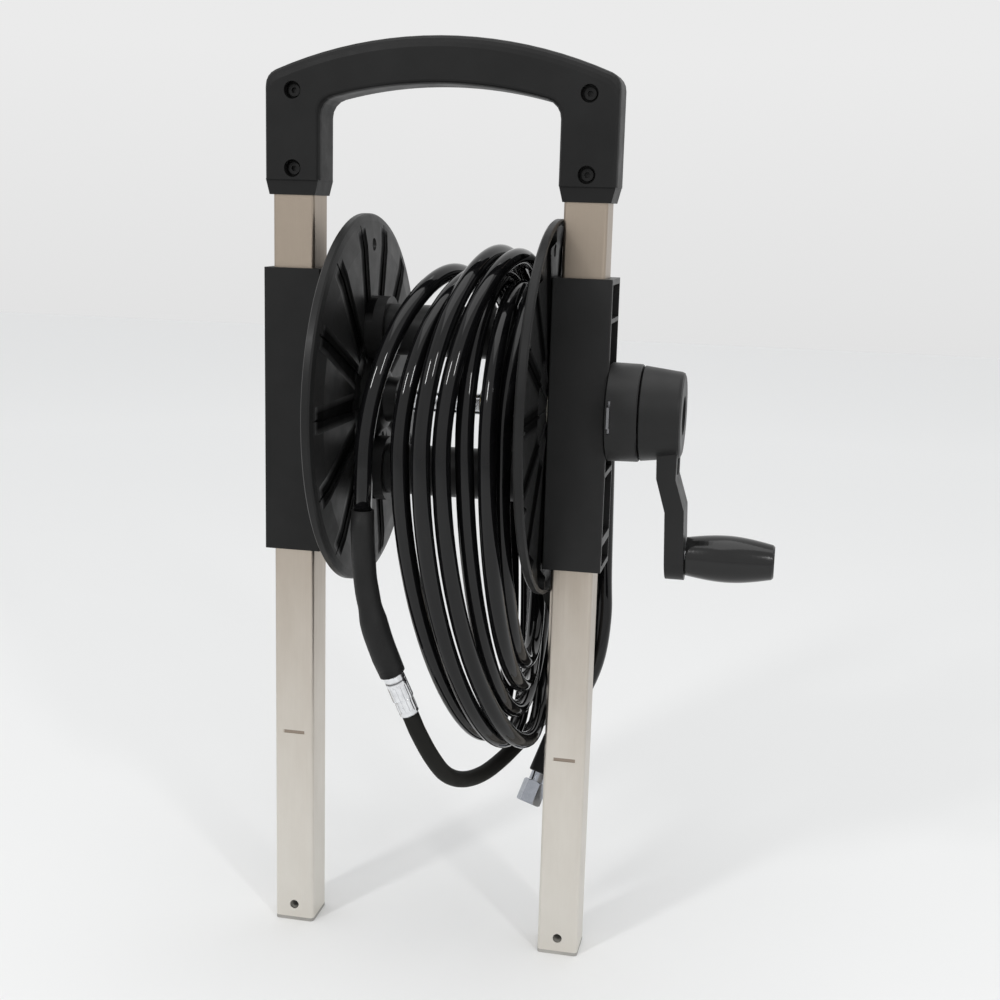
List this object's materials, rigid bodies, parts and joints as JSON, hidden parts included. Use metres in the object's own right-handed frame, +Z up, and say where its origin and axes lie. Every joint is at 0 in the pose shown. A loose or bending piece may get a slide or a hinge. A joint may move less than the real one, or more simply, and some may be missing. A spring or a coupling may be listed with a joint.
{
  "type": "pressure washer hose reel",
  "caption": "Upright carrying frame of square stainless legs with a moulded handle, holding a hand-cranked drum wound with black pressure hose.",
  "frame": {"origin": "midway between the two foot holes, on the line through the legs' centres, 15 mm above the floor", "axes": "+X along the axle to the crank, +Y to the back, +Z up"},
  "size_m": [0.4267, 0.3104, 0.765],
  "materials": {
    "stainless_tube": "brushed lengthways, satin",
    "black_plastic": "satin moulded",
    "bracket_plastic": "fine moulded grain",
    "handle_plastic": "soft satin",
    "crank_plastic": "satin moulded",
    "grip_plastic": "half gloss",
    "bearing_plastic": "plain moulded",
    "zinc_steel": "zinc plated",
    "dark_steel": "blackened",
    "bright_steel": "bright zinc plated",
    "brass": "turned",
    "seal_rubber": "moulded",
    "hose_jacket": "glossy extruded jacket",
    "lead_hose_rubber": "fine cloth-marked rubber",
    "sleeve_rubber": "matt moulded"
  },
  "bodies": {
    "frame": {"left_leg": "stainless_tube", "right_leg": "stainless_tube", "foot_plugs": "black_plastic", "left_bracket": "bracket_plastic", "right_bracket": "bracket_plastic", "bracket_screws": "zinc_steel", "handle_front_shell": "handle_plastic", "handle_rear_shell": "handle_plastic", "handle_screws": "dark_steel", "handle_nuts": "zinc_steel", "left_bush": "bearing_plastic", "right_bush": "bearing_plastic", "retaining_clip": "bright_steel", "swivel_housing": "brass", "swivel_seals": "seal_rubber", "inlet_nipple": "bright_steel", "lead_hose": "lead_hose_rubber", "lead_ferrule": "bright_steel", "coupling_sleeve": "sleeve_rubber", "main_hose_coil": "hose_jacket", "main_hose_tail": "hose_jacket", "end_sleeve": "sleeve_rubber", "end_nipple": "bright_steel"},
    "drum": {"axle": "bright_steel", "axle_plug": "bright_steel", "left_flange": "black_plastic", "right_flange": "black_plastic", "drum_screws": "zinc_steel", "outlet_elbow": "brass", "crank_arm": "crank_plastic", "crank_washer": "zinc_steel", "crank_nut": "zinc_steel", "grip_pin": "bright_steel"},
    "grip": {"crank_grip": "grip_plastic", "grip_cap": "grip_plastic"},
    "nut": {"swivel_nut": "bright_steel"}
  },
  "joints": [
    {"name": "drum_spin", "type": "hinge", "parent": "frame", "child": "drum", "pos_m": [0, 0, 0.46], "axis": [1, 0, 0], "continuous": true, "deforming": ["lead_hose"]},
    {"name": "grip_spin", "type": "hinge", "parent": "drum", "child": "grip", "pos_m": [0.247, 0, 0.3445], "axis": [1, 0, 0], "continuous": true},
    {"name": "nut_spin", "type": "hinge", "parent": "frame", "child": "nut", "pos_m": [0.08714, 0.01871, 0.11643], "axis": [-0.2857, -0.4286, -0.8571], "continuous": true}
  ]
}
